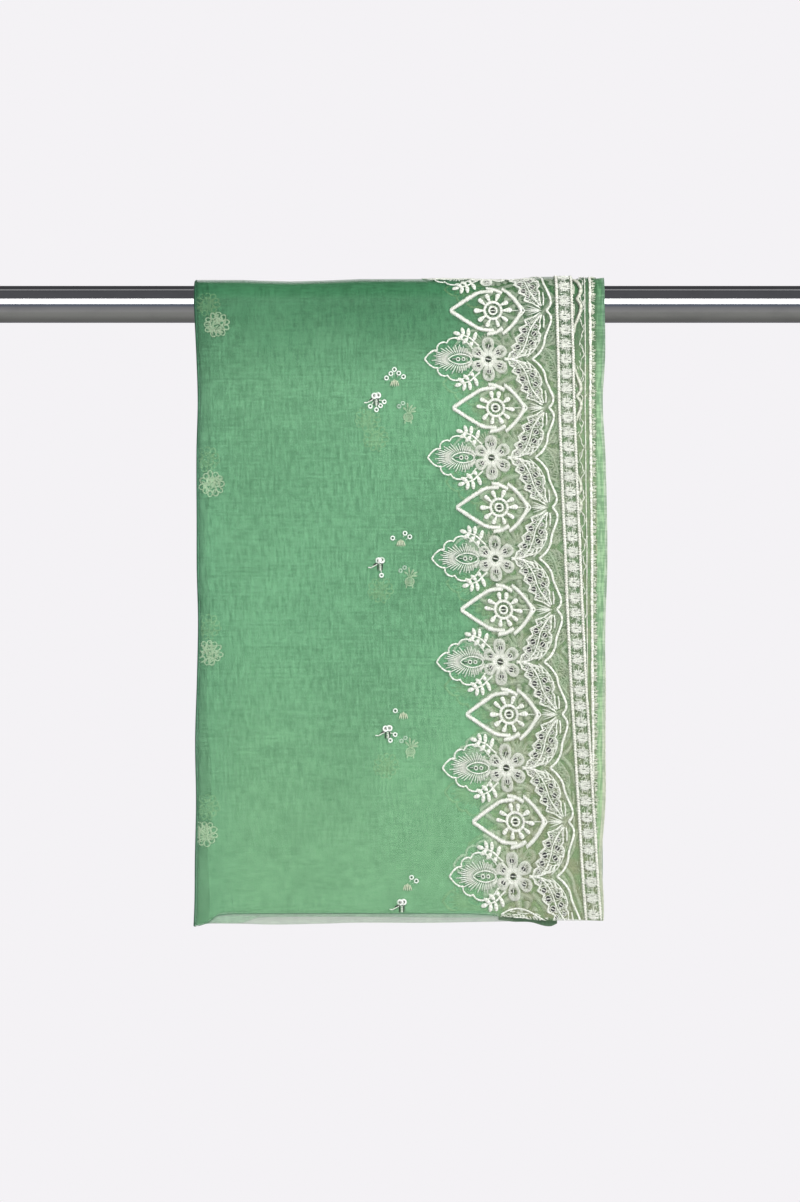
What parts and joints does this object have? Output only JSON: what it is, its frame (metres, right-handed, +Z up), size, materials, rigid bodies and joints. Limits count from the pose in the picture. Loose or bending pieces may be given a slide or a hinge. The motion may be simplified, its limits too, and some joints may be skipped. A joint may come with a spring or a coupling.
{
  "type": "folded dupatta stole on a rail",
  "caption": "Sheer green dupatta stole with a white scalloped embroidered border, folded and hung over a round chrome rail.",
  "frame": {"origin": "on the rail's axis, halfway along it, where the rail is held", "axes": "+X along the rail from the cloth's folded edge to its braided edge, +Y from the front drop to the back drop, +Z up"},
  "size_m": [0.74, 0.0529, 0.5639],
  "materials": {
    "sheer_green_organza": "sheer crisp organza with a soft sheen, several plies deep",
    "single_ply_organza": "one ply of sheer organza, partly see-through",
    "white_embroidery": "raised off-white and silver thread with small sequins",
    "chrome_rail": "polished chrome"
  },
  "bodies": {
    "root": {"rail": "chrome_rail", "outer_ply": "sheer_green_organza", "second_ply": "sheer_green_organza", "inner_plies": "sheer_green_organza", "folded_corner": "sheer_green_organza", "hem_strip": "single_ply_organza", "edge_braid": "white_embroidery", "second_braid": "white_embroidery", "inner_edge_cord": "white_embroidery"}
  },
  "joints": []
}
